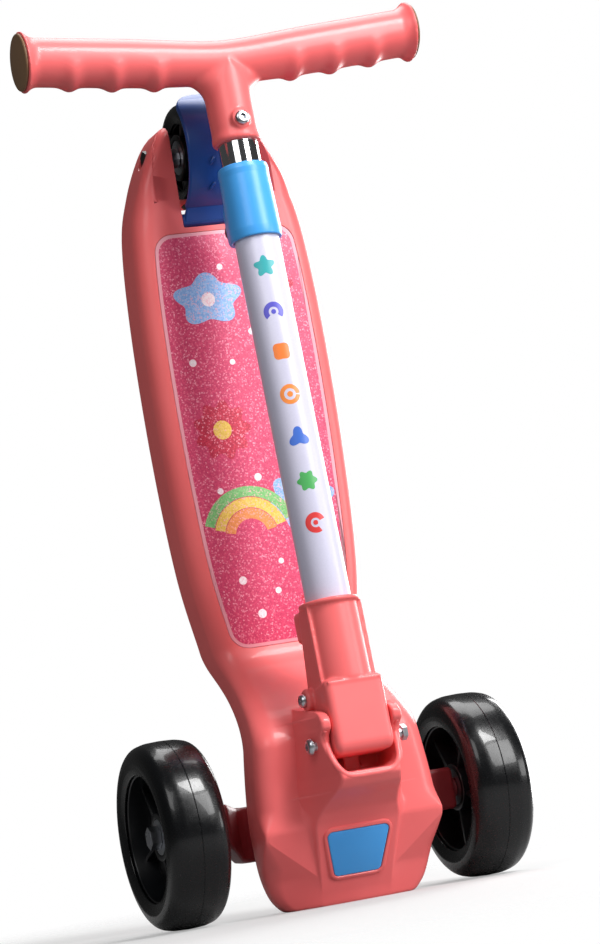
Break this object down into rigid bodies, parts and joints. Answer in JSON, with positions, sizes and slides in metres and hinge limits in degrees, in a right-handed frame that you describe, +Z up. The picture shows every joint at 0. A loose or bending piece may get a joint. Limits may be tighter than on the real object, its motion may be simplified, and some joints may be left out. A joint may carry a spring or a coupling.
{
  "type": "three wheel kids scooter",
  "caption": "Folding kids scooter standing folded on its nose, with lean steered front wheels, a ribbed deck, a height adjustable T-bar and a rear fender brake.",
  "frame": {"origin": "middle of the folded scooter's box, on the floor it stands on", "axes": "+Z up along the upright deck, +X across the scooter to the viewer's right, -Y the side of the deck that is stood on"},
  "size_m": [0.2604, 0.1494, 0.5504],
  "materials": {
    "coral_plastic": "gloss coral moulded plastic",
    "bridge_plastic": "dark red moulded nylon",
    "sky_plastic": "gloss sky blue plastic",
    "navy_plastic": "gloss navy plastic",
    "mat": "glitter print sheet",
    "lilac_paint": "pale lilac powder coat",
    "tube_chrome": "chromed tube",
    "bright_steel": "zinc plated",
    "tyre_black": "smooth black polyurethane tyre",
    "hub_black": "black moulded hub",
    "bush_rubber": "moulded rubber",
    "brown_nylon": "brown moulded nylon"
  },
  "bodies": {
    "deck": {"deck_body": "coral_plastic", "deck_mat": "mat", "nose_plate": "sky_plastic", "kingpin_bolt": "bright_steel", "kingpin_sleeve": "bright_steel", "kingpin_nut": "bright_steel", "rear_axle_bolt": "bright_steel", "rear_axle_nut": "bright_steel", "rear_spacer_left": "bright_steel", "rear_spacer_right": "bright_steel", "fender_pin": "bright_steel", "fender_spring": "bright_steel", "fold_bolt": "bright_steel", "fold_nut": "bright_steel"},
    "fender": {"rear_fender": "navy_plastic"},
    "bridge": {"steering_bridge": "bridge_plastic", "centring_bush": "bush_rubber", "axle_bolt_left": "bright_steel", "axle_nut_left": "bright_steel", "axle_spacer_left": "bright_steel", "axle_bolt_right": "bright_steel", "axle_nut_right": "bright_steel", "axle_spacer_right": "bright_steel"},
    "wheel_left": {"front_tyre_left": "tyre_black", "front_hub_left": "hub_black", "bearing_left_a": "bright_steel", "bearing_left_b": "bright_steel"},
    "wheel_right": {"front_tyre_right": "tyre_black", "front_hub_right": "hub_black", "bearing_right_a": "bright_steel", "bearing_right_b": "bright_steel"},
    "rear_wheel": {"rear_tyre": "tyre_black", "rear_hub": "hub_black", "bearing_rear_a": "bright_steel", "bearing_rear_b": "bright_steel"},
    "stem": {"stem_base": "coral_plastic", "fold_bush": "brown_nylon", "stem_tube": "lilac_paint", "collar": "sky_plastic", "lever_pin": "bright_steel", "lever_spring": "bright_steel", "lock_spring": "bright_steel"},
    "lever": {"release_lever": "coral_plastic"},
    "height_lock": {"height_pin": "bright_steel", "height_knob": "hub_black"},
    "handlebar": {"inner_tube": "tube_chrome", "tube_guide": "brown_nylon", "t_bar": "coral_plastic", "neck_screw": "bright_steel", "neck_nut": "bright_steel", "end_cap_left": "brown_nylon", "end_cap_right": "brown_nylon"}
  },
  "joints": [
    {"name": "stem_fold", "type": "hinge", "parent": "deck", "child": "stem", "pos_m": [0, -0.05763, 0.095], "axis": [1, 0, 0], "range_deg": [0, 86]},
    {"name": "fold_release", "type": "hinge", "parent": "stem", "child": "lever", "pos_m": [0, -0.04336, 0.12295], "axis": [-1, 0, 0], "range_deg": [0, 8], "stiffness_Nm_per_rad": 1, "springref_deg": -6.88},
    {"name": "height_lock_pull", "type": "slide", "parent": "stem", "child": "height_lock", "axis": [0, 0.9968, -0.0797], "range_m": [0, 0.004], "stiffness_N_per_m": 600, "springref_m": -0.002, "deforming": ["lock_spring"]},
    {"name": "handlebar_height", "type": "slide", "parent": "stem", "child": "handlebar", "axis": [0, 0.0797, 0.9968], "range_m": [-0.01, 0.18]},
    {"name": "fender_brake", "type": "hinge", "parent": "deck", "child": "fender", "pos_m": [0, 0.03037, 0.4352], "axis": [-1, 0, 0], "range_deg": [0, 3.5], "stiffness_Nm_per_rad": 1.5, "springref_deg": -8.59, "deforming": ["fender_spring"]},
    {"name": "lean_steering", "type": "hinge", "parent": "deck", "child": "bridge", "pos_m": [0, 0.01737, 0.052], "axis": [0, 0.8805, 0.4741], "range_deg": [-8, 8], "stiffness_Nm_per_rad": 20},
    {"name": "front_spin_left", "type": "hinge", "parent": "bridge", "child": "wheel_left", "pos_m": [-0.099, 0.01737, 0.0575], "axis": [1, 0, 0], "continuous": true},
    {"name": "front_spin_right", "type": "hinge", "parent": "bridge", "child": "wheel_right", "pos_m": [0.099, 0.01737, 0.0575], "axis": [1, 0, 0], "continuous": true},
    {"name": "rear_spin", "type": "hinge", "parent": "deck", "child": "rear_wheel", "pos_m": [0, 0.03987, 0.478], "axis": [1, 0, 0], "continuous": true}
  ]
}
